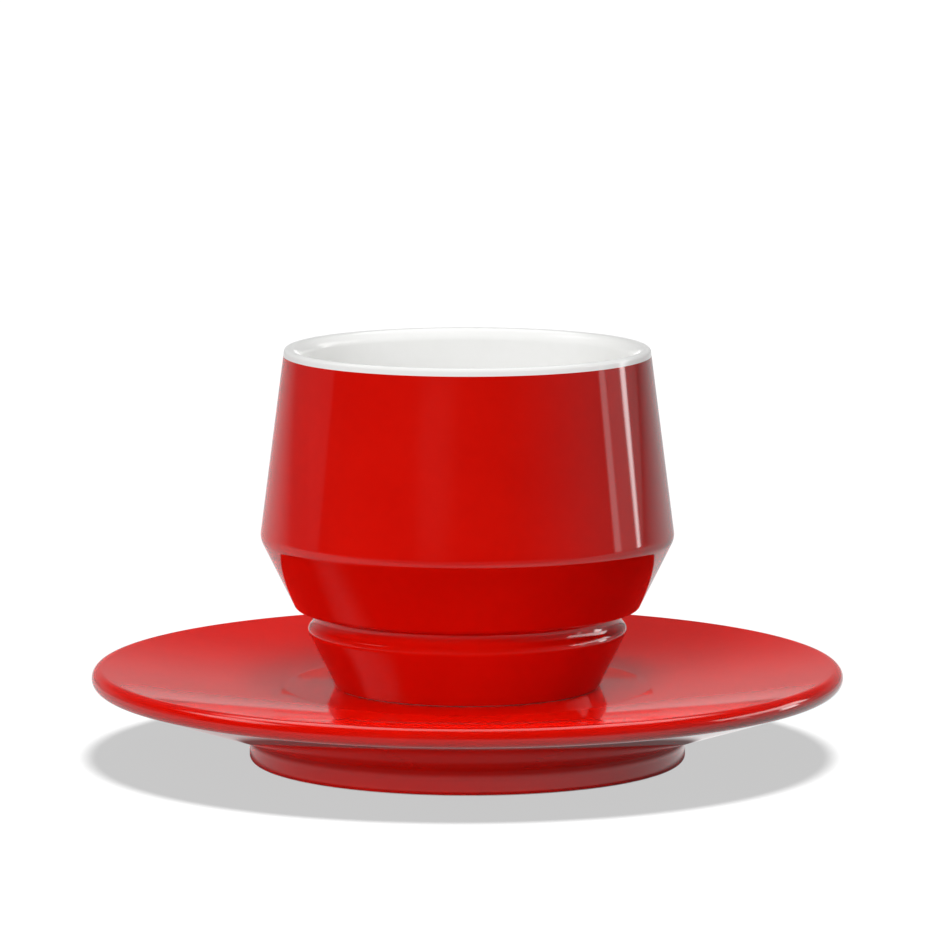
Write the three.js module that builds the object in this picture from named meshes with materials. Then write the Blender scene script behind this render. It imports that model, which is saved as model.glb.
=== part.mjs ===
// Cappuccino cup with saucer: two loose porcelain pieces, each a white fired
// body with a red gloss coat. Millimetres, +Z up. The origin is the centre of
// the plane on which the saucer's foot ring stands.
import * as THREE from 'three';

// ---- driving dimensions (mm) ---------------------------------------------
const SEGMENTS = 40;            // facets round the axis

// saucer
const SAUCER_R = 77.5;          // outer radius
const RIM_TUBE_R = 2.04;        // radius of the rounded rim
const RIM_TUBE_Z = 17.28;       // height of the rim's centre line
const DISH_RIM_ANGLE = 8.46;    // slope of the dish where it meets the rim, degrees
const DISH_MID = [52.6, 15.94]; // control point of the dish curve
const WELL_R = 37.5;            // radius of the flat seat for the cup
const SEAT_Z = 15.15;           // height of that seat
const UNDERSIDE_R = 47.5;       // where the underside cone meets the foot ring's flare
const UNDERSIDE_Z = 6.1;
const UNDERSIDE_ANGLE = 17.9;   // slope of the underside cone, degrees
const FOOT_R = 45.0;            // outer radius of the foot ring
const FOOT_FLARE_Z = 3.3;       // top of the ring's upright wall
const FOOT_EDGE_R = 0.96;       // rounding of the ring's lower edge
const FOOT_INNER_R = 40.2;      // inner radius of the standing face
const RECESS_Z = 9.5;           // ceiling of the hollow inside the ring
const RECESS_R = 38.4;          // radius of that ceiling before its rounding

// cup
const CUP_GAP = 0.05;           // clearance between the cup's foot and the seat
const CUP_BASE_Z = SEAT_Z + CUP_GAP;
const RIM_Z = 85.34;            // top of the lip
const SHOULDER = [42.694, 46.187]; // widest corner before rounding: radius, height
const UPPER_TAPER = 0.13042;    // radius lost per mm above the shoulder
const LOWER_TAPER = 0.49706;    // radius lost per mm below the shoulder
const SHOULDER_ROUND = 3.83;
const LIP_OUTER_ROUND = 0.9;    // rounding of the lip's outer edge
const LIP_INNER_ROUND = 2.4;    // rounding of the lip's inner edge
const COAT_TOP_Z = 83.78;       // line where white lip meets red coat
const BOWL_ROUND = 1.33;        // rounding of the bowl's lower edge, above the neck
const BOWL_TANGENT_Z = 32.12;   // height where that rounding leaves the cone
const LEDGE_ROUND = 1.66;       // rounding of the foot's upper edge, below the neck
const LEDGE_TOP_Z = 28.5;       // height of that rounding's full circle
const RING_TURN = 45;           // where the rounding turns into the hollow of the neck, degrees
const NECK_R = 31.6;            // radius of the neck between bowl and foot
const NECK_ROUND = 1.0;         // hollow rounding where the neck meets the bowl
const BASE_ROUND = 0.6;         // rounding of the foot's lower edge
const BASE_INNER_R = 22.6;      // inner radius of the cup's standing face
const BASE_RECESS = 1.5;        // depth of the hollow under the cup
const FLOOR_Z = 21.6;           // inside floor of the cup
const INNER_SHOULDER = [38.35, 46.9];
const INNER_HEEL = [22.3, FLOOR_Z];
const INNER_SHOULDER_ROUND = 8;
const INNER_HEEL_ROUND = 7;

const COAT_T = 0.35;            // thickness of the red coat

// ---- profile helpers, all in (radius, height) ------------------------------
const DEG = Math.PI / 180;
const upperR = (z) => SHOULDER[0] - UPPER_TAPER * (z - SHOULDER[1]);
const lowerR = (z) => SHOULDER[0] - LOWER_TAPER * (SHOULDER[1] - z);

// points on an arc about (cr, cz), angles in degrees from the +radius direction
function arc(cr, cz, rad, a0, a1, n) {
  const out = [];
  for (let i = 0; i <= n; i++) {
    const a = (a0 + ((a1 - a0) * i) / n) * DEG;
    out.push([cr + rad * Math.cos(a), cz + rad * Math.sin(a)]);
  }
  return out;
}

// a corner p between a and b, replaced by a rounding of n steps
function round(a, p, b, rad, n) {
  const u = [a[0] - p[0], a[1] - p[1]];
  const v = [b[0] - p[0], b[1] - p[1]];
  const lu = Math.hypot(...u), lv = Math.hypot(...v);
  u[0] /= lu; u[1] /= lu; v[0] /= lv; v[1] /= lv;
  const half = Math.acos(u[0] * v[0] + u[1] * v[1]) / 2;
  const w = [u[0] + v[0], u[1] + v[1]];
  const lw = Math.hypot(...w), dist = rad / Math.sin(half), t = rad / Math.tan(half);
  const c = [p[0] + (w[0] / lw) * dist, p[1] + (w[1] / lw) * dist];
  const s = [p[0] + u[0] * t, p[1] + u[1] * t];
  const e = [p[0] + v[0] * t, p[1] + v[1] * t];
  const a0 = Math.atan2(s[1] - c[1], s[0] - c[0]);
  let d = Math.atan2(e[1] - c[1], e[0] - c[0]) - a0;
  while (d > Math.PI) d -= 2 * Math.PI;
  while (d < -Math.PI) d += 2 * Math.PI;
  const out = [];
  for (let i = 0; i <= n; i++) {
    out.push([c[0] + rad * Math.cos(a0 + (d * i) / n), c[1] + rad * Math.sin(a0 + (d * i) / n)]);
  }
  return out;
}

function bezier(p0, p1, p2, n) {
  const curve = new THREE.QuadraticBezierCurve(
    new THREE.Vector2(...p0), new THREE.Vector2(...p1), new THREE.Vector2(...p2));
  return curve.getPoints(n).map((p) => [p.x, p.y]);
}

// the same open profile moved by t to its right-hand side
function offset(profile, t) {
  return profile.map((p, i) => {
    const a = profile[Math.max(i - 1, 0)], b = profile[Math.min(i + 1, profile.length - 1)];
    const d1 = [p[0] - a[0], p[1] - a[1]], d2 = [b[0] - p[0], b[1] - p[1]];
    const l1 = Math.hypot(...d1) || 1, l2 = Math.hypot(...d2) || 1;
    const n1 = i > 0 ? [d1[1] / l1, -d1[0] / l1] : [d2[1] / l2, -d2[0] / l2];
    const n2 = i < profile.length - 1 ? [d2[1] / l2, -d2[0] / l2] : n1;
    const m = [n1[0] + n2[0], n1[1] + n2[1]];
    const k = t / (1 + n1[0] * n2[0] + n1[1] * n2[1]);
    return [Math.max(0, p[0] + m[0] * k), p[1] + m[1] * k];
  });
}

// solid of revolution about +Z from a closed outline (radius, height)
function turned(outline) {
  let area = 0;
  for (let i = 0; i < outline.length; i++) {
    const [x0, y0] = outline[i], [x1, y1] = outline[(i + 1) % outline.length];
    area += x0 * y1 - x1 * y0;
  }
  const ring = area > 0 ? outline.slice() : outline.slice().reverse();
  // an outline that touches the axis starts and ends there
  const onAxis = ring.map((p) => p[0] < 1e-6);
  if (onAxis.some(Boolean)) {
    let k = 0;
    while (!(onAxis[k] && onAxis[(k + ring.length - 1) % ring.length])) k++;
    ring.push(...ring.splice(0, k));
  } else {
    ring.push(ring[0]);
  }
  const g = new THREE.LatheGeometry(ring.map(([r, z]) => new THREE.Vector2(r, z)), SEGMENTS);
  g.rotateX(Math.PI / 2);
  return g;
}

// ---- saucer ------------------------------------------------------------------
const tubeR = SAUCER_R - RIM_TUBE_R;
// outside of the saucer, from the foot ring's lower edge round the rim to the axis
const saucerSkin = [
  ...arc(FOOT_R - FOOT_EDGE_R, FOOT_EDGE_R, FOOT_EDGE_R, -50, 0, 2),
  [FOOT_R, FOOT_FLARE_Z],
  [FOOT_R + 0.8, FOOT_FLARE_Z + 1.75],
  [UNDERSIDE_R, UNDERSIDE_Z],
  ...arc(tubeR, RIM_TUBE_Z, RIM_TUBE_R, -90 + UNDERSIDE_ANGLE, 0, 3),
  ...arc(tubeR, RIM_TUBE_Z, RIM_TUBE_R, 0, 90 + DISH_RIM_ANGLE, 3).slice(1),
  ...bezier([tubeR - RIM_TUBE_R * Math.sin(DISH_RIM_ANGLE * DEG), RIM_TUBE_Z + RIM_TUBE_R * Math.cos(DISH_RIM_ANGLE * DEG)],
    DISH_MID, [WELL_R, SEAT_Z], 4).slice(1),
  [0, SEAT_Z],
];
const saucerCore = offset(saucerSkin, -COAT_T);
saucerCore[saucerCore.length - 1] = [0, SEAT_Z - COAT_T];
const saucerCoat = [...saucerSkin, ...saucerCore.slice().reverse()];
const saucerBody = [
  ...saucerCore,
  [0, RECESS_Z],
  ...round([0, RECESS_Z], [RECESS_R, RECESS_Z], [FOOT_INNER_R - 0.4, 0.5], 2, 3),
  [FOOT_INNER_R - 0.4, 0.5],
  [FOOT_INNER_R, 0],
  [FOOT_R - FOOT_EDGE_R, 0],
];

// ---- cup -----------------------------------------------------------------------
const lowerAngle = Math.atan(LOWER_TAPER) / DEG;
const bowlTangent = [lowerR(BOWL_TANGENT_Z), BOWL_TANGENT_Z];
const bowlC = [bowlTangent[0] - BOWL_ROUND * Math.cos(lowerAngle * DEG), bowlTangent[1] + BOWL_ROUND * Math.sin(lowerAngle * DEG)];
const undersideZ = bowlC[1] - BOWL_ROUND;
const ledgeTangentZ = LEDGE_TOP_Z - LEDGE_ROUND - LEDGE_ROUND * Math.sin(lowerAngle * DEG);
const ledgeC = [lowerR(ledgeTangentZ) - LEDGE_ROUND * Math.cos(lowerAngle * DEG), LEDGE_TOP_Z - LEDGE_ROUND];
const ringTop = [ledgeC[0] + LEDGE_ROUND * Math.cos(RING_TURN * DEG), ledgeC[1] + LEDGE_ROUND * Math.sin(RING_TURN * DEG)];
const hollow = (ringTop[0] - NECK_R) / (1 - Math.cos(RING_TURN * DEG));
const hollowC = [NECK_R + hollow, ringTop[1] + hollow * Math.sin(RING_TURN * DEG)];
const baseCorner = [lowerR(CUP_BASE_Z), CUP_BASE_Z];
const shoulderArc = round([upperR(60), 60], SHOULDER, [lowerR(40), 40], SHOULDER_ROUND, 3);

// outside of the cup under the lip, from the foot's lower edge up to the coat's line
const cupSkin = [
  ...round([baseCorner[0] - 5, CUP_BASE_Z], baseCorner, [lowerR(20), 20], BASE_ROUND, 2).slice(1),
  ...arc(ledgeC[0], ledgeC[1], LEDGE_ROUND, -lowerAngle, RING_TURN, 3),
  ...arc(hollowC[0], hollowC[1], hollow, 180 + RING_TURN, 180, 2).slice(1),
  ...arc(NECK_R + NECK_ROUND, undersideZ - NECK_ROUND, NECK_ROUND, 180, 90, 2),
  ...arc(bowlC[0], bowlC[1], BOWL_ROUND, -90, -lowerAngle, 3),
  ...shoulderArc.slice().reverse(),
  [upperR(COAT_TOP_Z), COAT_TOP_Z],
];
const cupCore = offset(cupSkin, -COAT_T);
// the core's end points lie level with the coat's end points
cupCore[0] = [cupSkin[0][0] - COAT_T, cupSkin[0][1]];
cupCore[cupCore.length - 1] = [upperR(COAT_TOP_Z) - COAT_T, COAT_TOP_Z];
const cupCoat = [...cupSkin, ...cupCore.slice().reverse()];

// the lip: a tight outer rounding and a wider inner one, meeting on top at lipR
const lean = Math.atan(UPPER_TAPER) / DEG;
const lipR = upperR(RIM_Z - LIP_OUTER_ROUND) - LIP_OUTER_ROUND;
const innerTop = [lipR - LIP_INNER_ROUND, RIM_Z - LIP_INNER_ROUND];
const cupBody = [
  ...cupCore,
  [upperR(COAT_TOP_Z), COAT_TOP_Z],
  ...arc(lipR, RIM_Z - LIP_OUTER_ROUND, LIP_OUTER_ROUND, lean, 90, 2),
  ...arc(lipR, RIM_Z - LIP_INNER_ROUND, LIP_INNER_ROUND, 90, 180, 3).slice(1),
  ...round(innerTop, INNER_SHOULDER, INNER_HEEL, INNER_SHOULDER_ROUND, 3),
  ...round(INNER_SHOULDER, INNER_HEEL, [0, FLOOR_Z], INNER_HEEL_ROUND, 3),
  [0, FLOOR_Z],
  [0, CUP_BASE_Z + BASE_RECESS],
  [BASE_INNER_R - 1.2, CUP_BASE_Z + BASE_RECESS],
  [BASE_INNER_R, CUP_BASE_Z],
  [baseCorner[0] - COAT_T - 0.75, CUP_BASE_Z],
];

// ---- assembly --------------------------------------------------------------------
const white = () => new THREE.MeshStandardMaterial({ color: 0xf1f1ee, roughness: 0.12, metalness: 0 });
const red = () => new THREE.MeshStandardMaterial({ color: 0xcc1408, roughness: 0.1, metalness: 0 });

function piece(name, outline, material) {
  const mesh = new THREE.Mesh(turned(outline), material);
  mesh.name = name;
  return mesh;
}

const saucer = new THREE.Group();
saucer.name = 'saucer';
saucer.add(piece('saucer_body', saucerBody, white()));
saucer.add(piece('saucer_red_coat', saucerCoat, red()));

const cup = new THREE.Group();
cup.name = 'cup';
cup.add(piece('cup_body', cupBody, white()));
cup.add(piece('cup_red_coat', cupCoat, red()));

const object = new THREE.Group();
object.name = 'cappuccino_cup_with_saucer';
object.add(saucer, cup);

export default object;
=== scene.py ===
"""Cappuccino cup with saucer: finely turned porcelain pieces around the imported
frame, with procedural glaze materials, a pale floor and soft studio light."""
import math

import bmesh
import bpy
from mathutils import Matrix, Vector


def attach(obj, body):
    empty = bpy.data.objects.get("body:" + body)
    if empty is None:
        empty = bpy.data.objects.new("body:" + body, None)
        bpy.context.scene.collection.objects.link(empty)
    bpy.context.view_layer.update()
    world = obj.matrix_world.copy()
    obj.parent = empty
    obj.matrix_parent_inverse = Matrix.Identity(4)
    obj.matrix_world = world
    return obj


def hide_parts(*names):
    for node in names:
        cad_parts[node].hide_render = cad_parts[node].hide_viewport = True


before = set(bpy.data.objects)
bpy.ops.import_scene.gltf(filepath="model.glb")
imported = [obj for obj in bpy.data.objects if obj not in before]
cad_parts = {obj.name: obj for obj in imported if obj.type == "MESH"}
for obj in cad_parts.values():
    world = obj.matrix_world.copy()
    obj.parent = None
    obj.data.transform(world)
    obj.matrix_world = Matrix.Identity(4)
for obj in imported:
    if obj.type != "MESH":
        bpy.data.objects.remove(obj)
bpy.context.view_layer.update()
scene = bpy.context.scene

MM = 0.001
SEG = 320

# ---------------------------------------------------------------- dimensions (mm)
SAUCER_R, RIM_TUBE_R, RIM_TUBE_Z = 77.5, 2.04, 17.28
DISH_RIM_ANGLE, DISH_MID = 8.46, (52.6, 15.94)
WELL_R, SEAT_Z = 37.5, 15.15
UNDERSIDE_R, UNDERSIDE_Z, UNDERSIDE_ANGLE = 47.5, 6.1, 17.9
FOOT_R, FOOT_FLARE_Z, FOOT_EDGE_R, FOOT_INNER_R = 45.0, 3.3, 0.96, 40.2
RECESS_Z, RECESS_R = 9.5, 38.4

CUP_BASE_Z, RIM_Z = 15.2, 85.34
SHOULDER, UPPER_TAPER, LOWER_TAPER, SHOULDER_ROUND = (42.694, 46.187), 0.13042, 0.49706, 3.83
LIP_OUTER_ROUND, LIP_INNER_ROUND, COAT_TOP_Z = 0.9, 2.4, 83.78
BOWL_ROUND, BOWL_TANGENT_Z = 1.33, 32.12
LEDGE_ROUND, LEDGE_TOP_Z = 1.66, 28.5
NECK_R, NECK_ROUND, RING_TURN = 31.6, 1.0, 45.0
BASE_ROUND, BASE_INNER_R, BASE_RECESS = 0.6, 22.6, 1.5
FLOOR_Z = 21.6
INNER_SHOULDER, INNER_HEEL = (38.35, 46.9), (22.3, 21.6)
INNER_SHOULDER_ROUND, INNER_HEEL_ROUND = 8.0, 7.0
COAT_T = 0.35
DEG = math.pi / 180


def upper_r(z):
    return SHOULDER[0] - UPPER_TAPER * (z - SHOULDER[1])


def lower_r(z):
    return SHOULDER[0] - LOWER_TAPER * (SHOULDER[1] - z)


# ---------------------------------------------------------------- profile helpers
def arc(cr, cz, rad, a0, a1, step=4.0):
    n = max(2, math.ceil(abs(a1 - a0) / step))
    out = []
    for i in range(n + 1):
        a = (a0 + (a1 - a0) * i / n) * DEG
        out.append((cr + rad * math.cos(a), cz + rad * math.sin(a)))
    return out


def rounded(a, p, b, rad, step=4.0):
    """the corner p between a and b, replaced by a rounding"""
    u = (a[0] - p[0], a[1] - p[1])
    v = (b[0] - p[0], b[1] - p[1])
    lu, lv = math.hypot(*u), math.hypot(*v)
    u = (u[0] / lu, u[1] / lu)
    v = (v[0] / lv, v[1] / lv)
    half = math.acos(u[0] * v[0] + u[1] * v[1]) / 2
    w = (u[0] + v[0], u[1] + v[1])
    lw, dist, t = math.hypot(*w), rad / math.sin(half), rad / math.tan(half)
    c = (p[0] + w[0] / lw * dist, p[1] + w[1] / lw * dist)
    s = (p[0] + u[0] * t, p[1] + u[1] * t)
    e = (p[0] + v[0] * t, p[1] + v[1] * t)
    a0 = math.atan2(s[1] - c[1], s[0] - c[0])
    d = math.atan2(e[1] - c[1], e[0] - c[0]) - a0
    d = (d + math.pi) % (2 * math.pi) - math.pi
    return arc(c[0], c[1], rad, a0 / DEG, (a0 + d) / DEG, step)


def bezier(p0, p1, p2, n=54):
    out = []
    for i in range(n + 1):
        t = i / n
        out.append(tuple((1 - t) ** 2 * a + 2 * t * (1 - t) * b + t * t * c for a, b, c in zip(p0, p1, p2)))
    return out


def graded(profile, longest=5.0):
    """the profile with extra rings near the ends of its long straight runs, so
    that smooth shading bends only at the roundings"""
    out = [profile[0]]
    for a, b in zip(profile[:-1], profile[1:]):
        length = math.hypot(b[0] - a[0], b[1] - a[1])
        if length < 1e-6:
            continue
        stops = []
        if length > 1.6:
            stops = [0.2, 0.6, length - 0.6, length - 0.2]
            if length > 5:
                n = math.ceil((length - 1.2) / longest)
                stops += [0.6 + (length - 1.2) * i / n for i in range(1, n)]
        for s in sorted(stops):
            t = s / length
            out.append((a[0] + (b[0] - a[0]) * t, a[1] + (b[1] - a[1]) * t))
        out.append(b)
    return out


def offset(profile, t):
    """the same open profile moved by t to its left-hand side"""
    out = []
    last = len(profile) - 1
    for i, p in enumerate(profile):
        a, b = profile[max(i - 1, 0)], profile[min(i + 1, last)]
        d1, d2 = (p[0] - a[0], p[1] - a[1]), (b[0] - p[0], b[1] - p[1])
        l1, l2 = math.hypot(*d1) or 1, math.hypot(*d2) or 1
        n2 = (-d2[1] / l2, d2[0] / l2) if i < last else (-d1[1] / l1, d1[0] / l1)
        n1 = (-d1[1] / l1, d1[0] / l1) if i > 0 else n2
        k = t / (1 + n1[0] * n2[0] + n1[1] * n2[1])
        out.append((max(0.0, p[0] + (n1[0] + n2[0]) * k), p[1] + (n1[1] + n2[1]) * k))
    return out


def turned(name, outline, sharp=50.0):
    """closed solid of revolution from an outline of (radius, height) in mm"""
    bm = bmesh.new()
    rings = []
    for r, z in outline:
        if r < 1e-5:
            rings.append([bm.verts.new((0, 0, z * MM))])
        else:
            rings.append([bm.verts.new((r * MM * math.cos(2 * math.pi * k / SEG), r * MM * math.sin(2 * math.pi * k / SEG), z * MM))
                          for k in range(SEG)])
    count = len(rings)
    for i in range(count):
        a, b = rings[i], rings[(i + 1) % count]
        if len(a) == 1 and len(b) == 1:
            continue
        for k in range(SEG):
            m = (k + 1) % SEG
            if len(a) == 1:
                bm.faces.new((a[0], b[k], b[m]))
            elif len(b) == 1:
                bm.faces.new((a[k], b[0], a[m]))
            else:
                bm.faces.new((a[k], b[k], b[m], a[m]))
    bmesh.ops.recalc_face_normals(bm, faces=bm.faces)
    for f in bm.faces:
        f.smooth = True
    for e in bm.edges:
        if len(e.link_faces) == 2 and e.calc_face_angle(0) > sharp * DEG:
            e.smooth = False
    mesh = bpy.data.meshes.new(name)
    bm.to_mesh(mesh)
    bm.free()
    obj = bpy.data.objects.new(name, mesh)
    scene.collection.objects.link(obj)
    return obj


# ---------------------------------------------------------------- saucer outlines
tube_r = SAUCER_R - RIM_TUBE_R
rim_in = (tube_r - RIM_TUBE_R * math.sin(DISH_RIM_ANGLE * DEG), RIM_TUBE_Z + RIM_TUBE_R * math.cos(DISH_RIM_ANGLE * DEG))
saucer_skin = graded(
    arc(FOOT_R - FOOT_EDGE_R, FOOT_EDGE_R, FOOT_EDGE_R, -50, 0, 5)
    + rounded((FOOT_R, 1.0), (FOOT_R, 5.2), (UNDERSIDE_R + 6, UNDERSIDE_Z + 6 * math.tan(UNDERSIDE_ANGLE * DEG)), 3.2, 4)
    + arc(tube_r, RIM_TUBE_Z, RIM_TUBE_R, -90 + UNDERSIDE_ANGLE, 90 + DISH_RIM_ANGLE, 4)
    + bezier(rim_in, DISH_MID, (WELL_R, SEAT_Z))[1:]
    + [(0, SEAT_Z)])
saucer_core = offset(saucer_skin, COAT_T)
saucer_core[-1] = (0, SEAT_Z - COAT_T)
saucer_coat_line = saucer_skin + saucer_core[::-1]
saucer_body_line = saucer_core + graded(
    [(0, RECESS_Z)]
    + rounded((0, RECESS_Z), (RECESS_R, RECESS_Z), (FOOT_INNER_R - 0.4, 0.5), 2.0, 6)
    + rounded((RECESS_R, RECESS_Z), (FOOT_INNER_R - 0.2, 0), (FOOT_R - FOOT_EDGE_R, 0), 0.5, 10)
    + arc(FOOT_R - FOOT_EDGE_R, FOOT_EDGE_R, FOOT_EDGE_R, -90, -50, 8))[:-1]

# ---------------------------------------------------------------- cup outlines
low = math.atan(LOWER_TAPER) / DEG
bowl_c = (lower_r(BOWL_TANGENT_Z) - BOWL_ROUND * math.cos(low * DEG), BOWL_TANGENT_Z + BOWL_ROUND * math.sin(low * DEG))
underside_z = bowl_c[1] - BOWL_ROUND
ledge_tangent_z = LEDGE_TOP_Z - LEDGE_ROUND - LEDGE_ROUND * math.sin(low * DEG)
ledge_c = (lower_r(ledge_tangent_z) - LEDGE_ROUND * math.cos(low * DEG), LEDGE_TOP_Z - LEDGE_ROUND)
ring_top = (ledge_c[0] + LEDGE_ROUND * math.cos(RING_TURN * DEG), ledge_c[1] + LEDGE_ROUND * math.sin(RING_TURN * DEG))
hollow = (ring_top[0] - NECK_R) / (1 - math.cos(RING_TURN * DEG))
hollow_c = (NECK_R + hollow, ring_top[1] + hollow * math.sin(RING_TURN * DEG))
base_corner = (lower_r(CUP_BASE_Z), CUP_BASE_Z)
base_round = rounded((base_corner[0] - 5, CUP_BASE_Z), base_corner, (lower_r(20), 20), BASE_ROUND, 6)
cup_skin = graded(
    base_round[len(base_round) // 2:]
    + arc(ledge_c[0], ledge_c[1], LEDGE_ROUND, -low, RING_TURN, 4)
    + arc(hollow_c[0], hollow_c[1], hollow, 180 + RING_TURN, 180, 4)[1:]
    + arc(NECK_R + NECK_ROUND, underside_z - NECK_ROUND, NECK_ROUND, 180, 90, 9)
    + arc(bowl_c[0], bowl_c[1], BOWL_ROUND, -90, -low, 4)
    + rounded((upper_r(60), 60), SHOULDER, (lower_r(40), 40), SHOULDER_ROUND, 3)[::-1]
    + [(upper_r(COAT_TOP_Z), COAT_TOP_Z)])
cup_core = offset(cup_skin, COAT_T)
cup_core[0] = (cup_skin[0][0] - COAT_T, cup_skin[0][1])
cup_core[-1] = (upper_r(COAT_TOP_Z) - COAT_T, COAT_TOP_Z)
cup_coat_line = cup_skin + cup_core[::-1]
lean = math.atan(UPPER_TAPER) / DEG
lip_r = upper_r(RIM_Z - LIP_OUTER_ROUND) - LIP_OUTER_ROUND
inner_top = (lip_r - LIP_INNER_ROUND, RIM_Z - LIP_INNER_ROUND)
cup_body_line = cup_core + graded(
    [(upper_r(COAT_TOP_Z), COAT_TOP_Z)]
    + arc(lip_r, RIM_Z - LIP_OUTER_ROUND, LIP_OUTER_ROUND, lean, 90, 6)
    + arc(lip_r, RIM_Z - LIP_INNER_ROUND, LIP_INNER_ROUND, 90, 180, 5)[1:]
    + rounded(inner_top, INNER_SHOULDER, INNER_HEEL, INNER_SHOULDER_ROUND, 3)
    + rounded(INNER_SHOULDER, INNER_HEEL, (0, FLOOR_Z), INNER_HEEL_ROUND, 4)
    + [(0, FLOOR_Z)]) + graded(
    [(0, CUP_BASE_Z + BASE_RECESS)]
    + rounded((0, CUP_BASE_Z + BASE_RECESS), (BASE_INNER_R - 1.2, CUP_BASE_Z + BASE_RECESS), (BASE_INNER_R, CUP_BASE_Z), 0.7, 8)
    + rounded((BASE_INNER_R - 1.2, CUP_BASE_Z + BASE_RECESS), (BASE_INNER_R, CUP_BASE_Z), (base_corner[0] - 1.2, CUP_BASE_Z), 0.3, 12)
    + base_round[:len(base_round) // 2])

saucer_body = turned("saucer_body_fine", saucer_body_line)
saucer_coat = turned("saucer_coat_fine", saucer_coat_line)
cup_body = turned("cup_body_fine", cup_body_line)
cup_coat = turned("cup_coat_fine", cup_coat_line)


# ---------------------------------------------------------------- node helpers
class Nodes:
    def __init__(self, tree):
        self.tree = tree

    def add(self, kind, **props):
        node = self.tree.nodes.new(kind)
        for key, value in props.items():
            setattr(node, key, value)
        return node

    def link(self, value, socket):
        if isinstance(value, (int, float, tuple)):
            socket.default_value = value
        else:
            self.tree.links.new(value, socket)

    def math(self, op, a, b=None, clamp=False):
        node = self.add("ShaderNodeMath", operation=op, use_clamp=clamp)
        self.link(a, node.inputs[0])
        if b is not None:
            self.link(b, node.inputs[1])
        return node.outputs[0]

    def total(self, *values):
        out = values[0]
        for v in values[1:]:
            out = self.math("ADD", out, v)
        return out

    def times(self, *values):
        out = values[0]
        for v in values[1:]:
            out = self.math("MULTIPLY", out, v)
        return out

    def ease(self, value, f0, f1, t0=0.0, t1=1.0, kind="SMOOTHSTEP"):
        node = self.add("ShaderNodeMapRange", interpolation_type=kind, clamp=True)
        if f0 > f1:
            f0, f1, t0, t1 = f1, f0, t1, t0
        self.link(value, node.inputs[0])
        for i, v in enumerate((f0, f1, t0, t1)):
            node.inputs[i + 1].default_value = v
        return node.outputs[0]

    def band(self, value, lo, hi, soft):
        return self.times(self.ease(value, lo - soft, lo + soft), self.ease(value, hi - soft, hi + soft, 1.0, 0.0))

    def noise(self, vector, scale, detail=2.0, rough=0.5):
        node = self.add("ShaderNodeTexNoise")
        self.link(vector, node.inputs["Vector"])
        node.inputs["Scale"].default_value = scale
        node.inputs["Detail"].default_value = detail
        node.inputs["Roughness"].default_value = rough
        return node.outputs["Fac"]

    def ramp(self, value, stops):
        node = self.add("ShaderNodeValToRGB")
        self.link(value, node.inputs[0])
        el = node.color_ramp.elements
        while len(el) < len(stops):
            el.new(0.5)
        for e, (pos, col) in zip(el, stops):
            e.position = pos
            e.color = (*col, 1.0)
        return node.outputs[0]


def new_material(name):
    mat = bpy.data.materials.new(name)
    mat.use_nodes = True
    mat.node_tree.nodes.clear()
    n = Nodes(mat.node_tree)
    return mat, n, n.add("ShaderNodeOutputMaterial").inputs["Surface"]


def glaze(name, stops, rough, peel, ior=1.5):
    """fired gloss glaze: a body colour with faint cloudiness under a clear
    layer with a slightly uneven gloss and a very shallow orange peel"""
    mat, n, surface = new_material(name)
    # keeps single facets from showing where the glaze is seen at a grazing angle
    mat.cycles.use_bump_map_correction = False
    pos = n.add("ShaderNodeTexCoord").outputs["Object"]
    bump = n.add("ShaderNodeBump")
    bump.inputs["Strength"].default_value = 1.0
    bump.inputs["Distance"].default_value = peel
    n.link(n.noise(pos, 260.0, 2.0, 0.4), bump.inputs["Height"])
    cloud = n.total(n.times(n.noise(pos, 55.0, 3.0), 0.7), n.times(n.noise(pos, 420.0, 2.0), 0.3))
    fresnel = n.add("ShaderNodeFresnel")
    fresnel.inputs["IOR"].default_value = ior
    # less of the body colour comes through where the clear layer mirrors more
    through = n.add("ShaderNodeVectorMath", operation="SCALE")
    n.link(n.ramp(cloud, stops), through.inputs[0])
    n.link(n.math("SUBTRACT", 1.0, n.times(fresnel.outputs[0], 0.5)), through.inputs["Scale"])
    body = n.add("ShaderNodeBsdfDiffuse")
    n.link(through.outputs[0], body.inputs["Color"])
    gloss = n.add("ShaderNodeBsdfAnisotropic")
    n.link(fresnel.outputs[0], gloss.inputs["Color"])
    n.link(n.ease(n.noise(pos, 90.0, 4.0), 0.3, 0.7, rough[0], rough[1], "LINEAR"), gloss.inputs["Roughness"])
    for node in (body, fresnel, gloss):
        n.link(bump.outputs[0], node.inputs["Normal"])
    layers = n.add("ShaderNodeAddShader")
    n.link(body.outputs[0], layers.inputs[0])
    n.link(gloss.outputs[0], layers.inputs[1])
    n.link(layers.outputs[0], surface)
    return mat


red = glaze("red_gloss_glaze", [(0.35, (0.63, 0.0036, 0.0006)), (0.65, (0.67, 0.0046, 0.0010))], (0.036, 0.052), 1.5e-7)
white = glaze("white_gloss_glaze", [(0.35, (0.905, 0.905, 0.89)), (0.65, (0.925, 0.925, 0.915))], (0.06, 0.09), 1.0e-6, 1.33)

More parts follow.
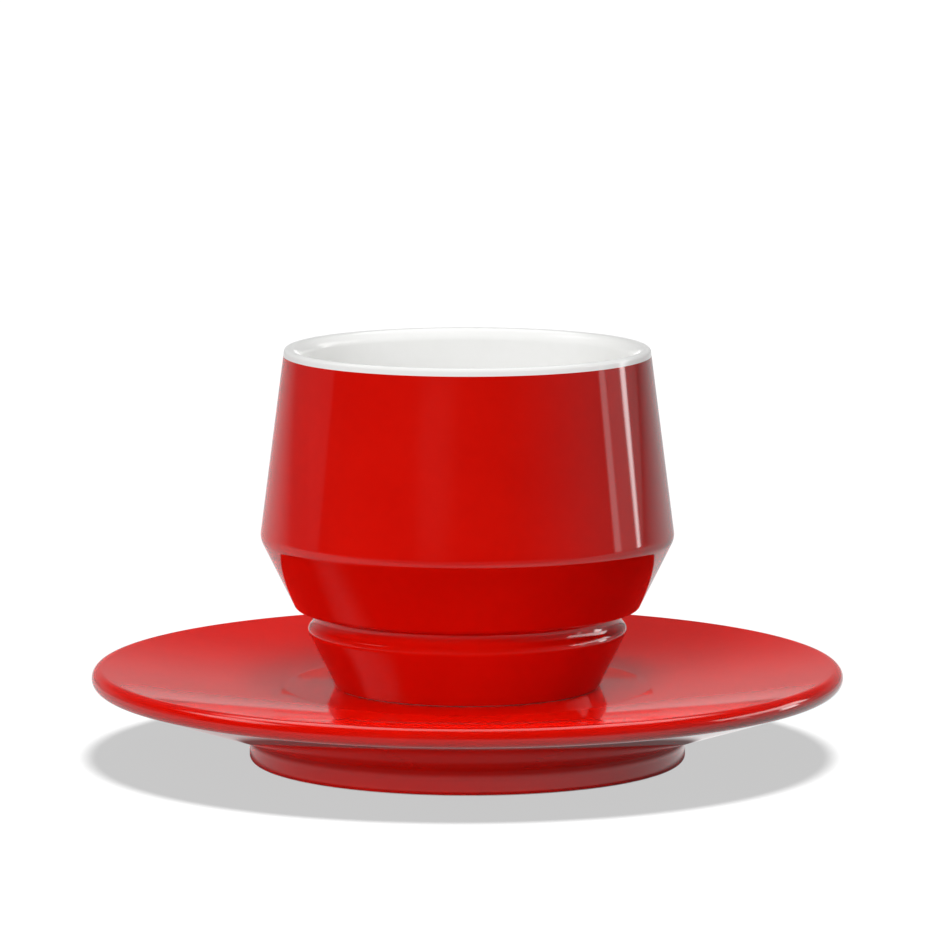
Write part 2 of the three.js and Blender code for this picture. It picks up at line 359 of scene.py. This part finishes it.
bare, n, surface = new_material("bare_porcelain")
bsdf = n.add("ShaderNodeBsdfPrincipled")
n.link(bsdf.outputs[0], surface)
pos = n.add("ShaderNodeTexCoord").outputs["Object"]
grain = n.noise(pos, 2600.0, 3.0, 0.7)
n.link(n.ramp(n.total(n.times(grain, 0.6), n.times(n.noise(pos, 300.0, 3.0), 0.4)),
              [(0.3, (0.62, 0.60, 0.56)), (0.7, (0.78, 0.77, 0.74))]), bsdf.inputs["Base Color"])
bsdf.inputs["Roughness"].default_value = 0.7
bump = n.add("ShaderNodeBump")
bump.inputs["Strength"].default_value = 0.6
bump.inputs["Distance"].default_value = 3.0e-5
n.link(grain, bump.inputs["Height"])
n.link(bump.outputs[0], bsdf.inputs["Normal"])


def finish_body(obj, stand_z):
    """white glaze all over, bare on the flat standing face"""
    obj.data.materials.append(white)
    obj.data.materials.append(bare)
    for f in obj.data.polygons:
        if f.normal.z < -0.95 and abs(f.center.z - stand_z * MM) < 0.00005:
            f.material_index = 1


finish_body(saucer_body, 0.0)
finish_body(cup_body, CUP_BASE_Z)
saucer_coat.data.materials.append(red)
cup_coat.data.materials.append(red)

for obj, body, node, slot in ((saucer_body, "saucer", "saucer_body", "white_porcelain"),
                              (saucer_coat, "saucer", "saucer_red_coat", "red_glaze"),
                              (cup_body, "cup", "cup_body", "white_porcelain"),
                              (cup_coat, "cup", "cup_red_coat", "red_glaze")):
    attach(obj, body)
    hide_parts(node)

# ---------------------------------------------------------------- floor
bm = bmesh.new()
bmesh.ops.create_grid(bm, x_segments=1, y_segments=1, size=6.0)
mesh = bpy.data.meshes.new("floor")
bm.to_mesh(mesh)
bm.free()
floor = bpy.data.objects.new("floor", mesh)
floor.location.z = -0.0001
scene.collection.objects.link(floor)
mat = bpy.data.materials.new("pale_floor")
mat.use_nodes = True
mat.cycles.emission_sampling = "NONE"
mat.node_tree.nodes.clear()
n = Nodes(mat.node_tree)
out = n.add("ShaderNodeOutputMaterial")
glow = n.add("ShaderNodeEmission")
glow.inputs["Color"].default_value = (1.0, 1.0, 1.0, 1.0)
# the floor glows though it is no lamp: camera rays see an even 0.57 grey, and the linked overhead sun adds the rest
# where its shadow does not fall. For polished surfaces the glow is a painted reflection of the floor: painted shade
# close to the foot ring, brighter to the right, fading with distance and dimmer far in front. For matt surfaces it is
# painted bounce light, weaker than the floor shows and weaker to the right
ground_pos = n.add("ShaderNodeSeparateXYZ")
n.link(n.add("ShaderNodeTexCoord").outputs["Object"], ground_pos.inputs[0])
dist = n.math("SQRT", n.total(n.math("POWER", ground_pos.outputs[0], 2.0), n.math("POWER", ground_pos.outputs[1], 2.0)))
path = n.add("ShaderNodeLightPath")
seen, spread = path.outputs["Is Glossy Ray"], path.outputs["Is Diffuse Ray"]
fade = n.math("POWER", n.total(n.times(n.math("POWER", dist, 2.0), 0.35), 1.0), -0.7)
right = n.times(n.ease(ground_pos.outputs[0], -0.02, 0.05, 0.0, 0.35), n.ease(dist, 0.10, 0.20, 1.0, 0.0))
ahead = n.ease(ground_pos.outputs[1], -0.20, -0.13, 0.35, 1.0)
aside = n.ease(ground_pos.outputs[0], 0.10, 0.40, 0.0, 0.14)
# painted reflection of the floor, with painted shade close to the foot ring
painted_floor_reflection = n.times(seen, n.ease(dist, 0.0465, 0.0500, 0.12, 1.0), n.total(right, aside, 0.58), fade, ahead)
direct = n.math("SUBTRACT", 1.0, n.total(seen, spread))
# painted bounce light from the floor for matt surfaces, weaker to the right
n.link(n.total(n.times(direct, 0.57), painted_floor_reflection, n.times(spread, n.ease(ground_pos.outputs[0], -0.02, 0.06, 0.28, 0.09))), glow.inputs["Strength"])
matt = n.add("ShaderNodeBsdfDiffuse")
n.link(n.ramp(n.total(direct, n.times(seen, 0.1)), [(0.0, (0.0, 0.0, 0.0)), (1.0, (0.02, 0.02, 0.02))]), matt.inputs["Color"])
both = n.add("ShaderNodeAddShader")
mat.node_tree.links.new(glow.outputs[0], both.inputs[0])
mat.node_tree.links.new(matt.outputs[0], both.inputs[1])
mat.node_tree.links.new(both.outputs[0], out.inputs["Surface"])
floor.data.materials.append(mat)

# ---------------------------------------------------------------- card
# a low red card behind the saucer that glows though it is no lamp, hidden from the camera and matt surfaces: a painted
# reflection, there only for the polished seat to mirror as two dark red patches beside the foot
mesh = bpy.data.meshes.new("painted_reflection_card")
mesh.from_pydata([(x * MM, 200 * MM, z * MM) for x, z in ((-40.3, 43.5), (40.3, 43.5), (40.3, 47.2), (-40.3, 47.2))], [], [(0, 1, 2, 3)])
card = bpy.data.objects.new("painted_reflection_card", mesh)
scene.collection.objects.link(card)
card.visible_camera = False
card.visible_diffuse = False
card.visible_transmission = False
card.visible_shadow = False
card.visible_volume_scatter = False
mat = bpy.data.materials.new("red_card_painted_reflection")
mat.use_nodes = True
mat.node_tree.nodes.clear()
mat.cycles.emission_sampling = "NONE"
n = Nodes(mat.node_tree)
glow = n.add("ShaderNodeEmission")
# colour of the painted reflection on the seat
glow.inputs["Color"].default_value = (0.55, 0.13, 0.12, 1.0)
n.link(glow.outputs[0], n.add("ShaderNodeOutputMaterial").inputs["Surface"])
card.data.materials.append(mat)

# ---------------------------------------------------------------- light
OVERHEAD = (0.093, -0.243, 1.0)


def sun(name, strength, angle, to_light, *receivers):
    data = bpy.data.lights.new(name, "SUN")
    data.energy = strength
    data.angle = angle * DEG
    obj = bpy.data.objects.new(name, data)
    obj.rotation_euler = Vector(to_light).to_track_quat("Z", "Y").to_euler()
    obj.location = (0, 0, 3)
    obj.visible_glossy = False
    scene.collection.objects.link(obj)
    only = bpy.data.collections.new(name + "_receivers")
    for r in receivers:
        only.objects.link(r)
    obj.light_linking.receiver_collection = only


LOW_FRONT = (-0.3004, -0.8722, 0.386)
sun("low_front", 2.06, 36.7, LOW_FRONT, cup_coat, saucer_coat, floor)
sun("low_front_white", 2.14, 36.7, LOW_FRONT, cup_body, saucer_body)
sun("overhead_cup", 0.62, 14.5, OVERHEAD, cup_coat)
sun("overhead_saucer", 0.8, 14.5, OVERHEAD, saucer_coat)
sun("fill_back", 0.9, 60.0, (0.5, 0.6, 0.6), saucer_coat)
sun("overhead_white", 0.01, 14.5, OVERHEAD, saucer_body, cup_body)
sun("overhead_floor", 0.52 * math.pi / 0.02, 14.5, OVERHEAD, floor)
sun("fill_right", 1.3, 50.0, (1.0, -0.1, 0.27), cup_body)

world = bpy.data.worlds.new("studio")
scene.world = world
world.use_nodes = True
world.node_tree.nodes.clear()
world.cycles.sampling_method = "NONE"
n = Nodes(world.node_tree)
out = n.add("ShaderNodeOutputWorld")
direction = n.add("ShaderNodeSeparateXYZ")
n.link(n.add("ShaderNodeTexCoord").outputs["Generated"], direction.inputs[0])
dx, dy, dz = direction.outputs
el = n.times(n.math("ARCSINE", dz), 1 / DEG)
az = n.times(n.math("ARCTAN2", dx, n.times(dy, -1.0)), 1 / DEG)
far = n.math("ABSOLUTE", az)

# what polished surfaces mirror: a dim room with a brighter back, two upright
# strip lights on the right with a softbox over them, and an overhead panel
# that leans to the back
back = n.ease(far, 100.0, 160.0)
upper = n.total(
    n.times(n.total(n.times(back, 0.26), 0.03), n.ease(el, 8.0, 22.0, 1.0, 0.3), n.ease(el, 2.5, 6.0, 1.4, 1.0)),
    n.times(n.band(az, 60.0, 110.0, 45.0), 0.28, n.ease(el, 20.0, 45.0, 1.0, 0.2)),
    n.times(n.ease(az, -93.0, -89.0, 1.0, 0.0), n.ease(az, -135.0, -100.0, 0.0, 0.15), n.ease(el, 12.0, 18.0, 1.0, 0.0)),
    n.times(n.band(az, -122.0, -80.0, 10.0), n.band(el, 39.0, 54.0, 4.0), 3.2))
room = n.total(n.times(upper, n.ease(el, 0.8, 1.5)), n.ease(el, 0.8, 1.5, 0.15, 0.0))
low_el = n.math("MINIMUM", el, 3.0)
left_edge, right_edge = n.total(az, n.times(low_el, -0.55)), n.total(az, n.times(low_el, -2.6))
strips = n.total(n.times(n.band(az, 89.5, 94.5, 1.2), 1.7), n.times(n.band(az, 94.5, 109.0, 1.5), 0.45),
                 n.times(n.ease(left_edge, 106.9, 110.3), n.ease(right_edge, 110.3, 113.7, 1.0, 0.0), 6.6),
                 n.times(n.ease(right_edge, 110.3, 113.7), n.ease(az, 116.0, 138.0, 0.40, 0.0)))
strips = n.times(strips, n.band(el, -4.0, 12.0, 2.0))
softbox = n.times(n.band(az, 83.0, 130.0, 2.0), n.band(el, 13.0, 25.0, 1.5), 4.0)
lean_back = n.total(n.times(dy, math.sin(24 * DEG)), n.times(dz, math.cos(24 * DEG)))
panel = n.times(n.ease(lean_back, math.cos(29 * DEG), math.cos(22 * DEG)), 2.3)
mirror = n.total(room, strips, softbox, panel)

# what lights the matt part of the glaze besides the lamps: a soft overhead cap
# and a weak low panel at the back left
cap = n.times(n.ease(el, 38.0, 62.0), 0.86)
low_back = n.times(n.band(az, -130.0, -85.0, 12.0), n.band(el, 6.0, 36.0, 8.0), 1.1)
soft = n.total(cap, low_back, 0.02)

path = n.add("ShaderNodeLightPath")
is_glossy, is_camera = path.outputs["Is Glossy Ray"], path.outputs["Is Camera Ray"]
level = n.total(n.times(mirror, is_glossy), n.times(soft, n.math("SUBTRACT", 1.0, is_glossy)))
level = n.total(n.times(level, n.math("SUBTRACT", 1.0, is_camera)), n.times(is_camera, 1.0))
sky = n.add("ShaderNodeBackground")
n.link(level, sky.inputs["Strength"])
world.node_tree.links.new(sky.outputs[0], out.inputs["Surface"])
sky.inputs["Color"].default_value = (1.0, 1.0, 1.0, 1.0)

scene.view_settings.view_transform = "Standard"
scene.view_settings.look = "None"

# ---------------------------------------------------------------- camera
cam = bpy.data.cameras.new("camera")
cam.sensor_fit = "HORIZONTAL"
cam.sensor_width = 36.0
cam.lens = 36.0 * 6526.43 / 932
cam.clip_end = 100.0
camera = bpy.data.objects.new("camera", cam)
camera.location = (-0.000285, -1.33064, 0.23896)
camera.rotation_euler = (82.372 * DEG, 0.0, 0.0)
scene.collection.objects.link(camera)
scene.camera = camera

bpy.context.view_layer.update()
